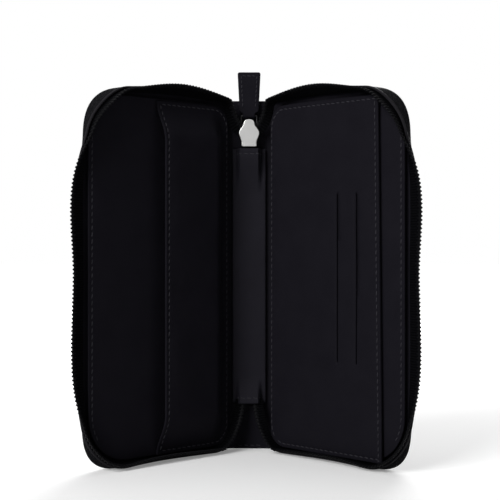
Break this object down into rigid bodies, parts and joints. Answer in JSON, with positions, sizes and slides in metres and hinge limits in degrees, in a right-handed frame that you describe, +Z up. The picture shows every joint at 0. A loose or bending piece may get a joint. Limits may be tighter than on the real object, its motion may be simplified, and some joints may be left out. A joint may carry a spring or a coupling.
{
  "type": "travel document organizer",
  "caption": "Zip-around leather travel document organizer, open and standing, with a phone pocket and a card pocket panel.",
  "frame": {"origin": "middle of the spine leather's lower edge, where it stands", "axes": "+Z up along the spine, +X to the right of someone looking into the open case, +Y away from them"},
  "size_m": [0.1727, 0.0815, 0.2088],
  "materials": {
    "grained_leather": "pebbled, matt black",
    "smooth_leather": "smooth, satin black",
    "pocket_fabric": "woven, black",
    "fibre_board": "hidden stiffening board",
    "zip_tape": "ribbed, black",
    "zip_teeth": "coil, black",
    "satin_nickel": "satin nickel"
  },
  "bodies": {
    "right_cover": {"card_panel": "smooth_leather", "card_pocket_1": "pocket_fabric", "card_pocket_2": "pocket_fabric", "right_bottom_zip_tape": "zip_tape", "right_bottom_zip_teeth": "zip_teeth", "right_cover_board": "fibre_board", "right_cover_leather": "grained_leather", "right_cover_lining": "smooth_leather", "right_fold_leather": "grained_leather", "right_slip_pocket": "smooth_leather", "right_top_zip_tape": "zip_tape", "right_top_zip_teeth": "zip_teeth", "right_zip_tape": "zip_tape", "right_zip_teeth": "zip_teeth"},
    "spine": {"joined_zip_tape": "zip_tape", "joined_zip_teeth": "zip_teeth", "spine_leather": "grained_leather", "spine_stiffener": "fibre_board", "spine_strip": "smooth_leather"},
    "pull": {"leather_pull": "smooth_leather"},
    "left_cover": {"left_bottom_zip_tape": "zip_tape", "left_bottom_zip_teeth": "zip_teeth", "left_cover_board": "fibre_board", "left_cover_leather": "grained_leather", "left_cover_lining": "smooth_leather", "left_fold_leather": "grained_leather", "left_slip_pocket": "smooth_leather", "left_top_zip_tape": "zip_tape", "left_top_zip_teeth": "zip_teeth", "left_zip_tape": "zip_tape", "left_zip_teeth": "zip_teeth", "phone_pocket": "smooth_leather"},
    "ring": {"pull_ring": "satin_nickel"},
    "slider": {"slider_body": "satin_nickel"}
  },
  "joints": [
    {"name": "left_fold", "type": "hinge", "parent": "spine", "child": "left_cover", "pos_m": [-0.0124, -0.00065, 0], "axis": [0, 0, 1], "range_deg": [-43.3, 46.7], "deforming": ["left_fold_leather", "left_top_zip_teeth", "left_top_zip_tape", "left_bottom_zip_teeth", "left_bottom_zip_tape"]},
    {"name": "right_fold", "type": "hinge", "parent": "spine", "child": "right_cover", "pos_m": [0.0124, -0.00065, 0], "axis": [0, 0, -1], "range_deg": [-45.6, 44.4], "deforming": ["right_fold_leather", "right_top_zip_teeth", "right_top_zip_tape", "right_bottom_zip_teeth", "right_bottom_zip_tape"]},
    {"name": "slider_travel", "type": "slide", "parent": "spine", "child": "slider", "axis": [0, 0, 1], "range_m": [0, 0.008], "deforming": ["left_top_zip_teeth", "left_top_zip_tape", "right_top_zip_teeth", "right_top_zip_tape"]},
    {"name": "ring_swing", "type": "hinge", "parent": "slider", "child": "ring", "pos_m": [0, -0.0035, 0.17545], "axis": [-1, 0, 0], "range_deg": [-3, 0]},
    {"name": "pull_swing", "type": "hinge", "parent": "ring", "child": "pull", "pos_m": [0, -0.0035, 0.18445], "axis": [-1, 0, 0], "range_deg": [-90, 0]}
  ]
}
